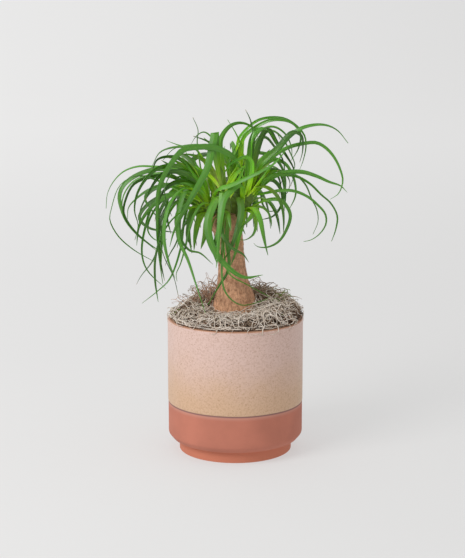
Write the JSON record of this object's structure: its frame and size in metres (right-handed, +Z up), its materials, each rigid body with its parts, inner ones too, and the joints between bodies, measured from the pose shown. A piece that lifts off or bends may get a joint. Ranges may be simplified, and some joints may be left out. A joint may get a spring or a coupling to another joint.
{
  "type": "potted ponytail palm",
  "caption": "Ponytail palm with leafy heads of arching strap leaves on a swollen corky trunk, moss-dressed in a two-tone stoneware pot.",
  "frame": {"origin": "centre of the pot's underside", "axes": "+Z up, -Y towards the front of the plant as pictured, +X to the viewer's right"},
  "size_m": [0.29, 0.2017, 0.4193],
  "materials": {
    "stoneware": "satin pink and sand glaze above, bare terracotta clay below",
    "soil": "loose, damp and matte",
    "dried_moss": "dry, curly and matte",
    "corky_bark": "rough corky bark",
    "strap_leaf": "smooth and softly glossy"
  },
  "bodies": {
    "root": {"pot": "stoneware", "potting_soil": "soil", "moss": "dried_moss", "trunk": "corky_bark", "head_left": "strap_leaf", "head_front": "strap_leaf", "head_right": "strap_leaf", "head_top": "strap_leaf", "head_rear": "strap_leaf"}
  },
  "joints": []
}
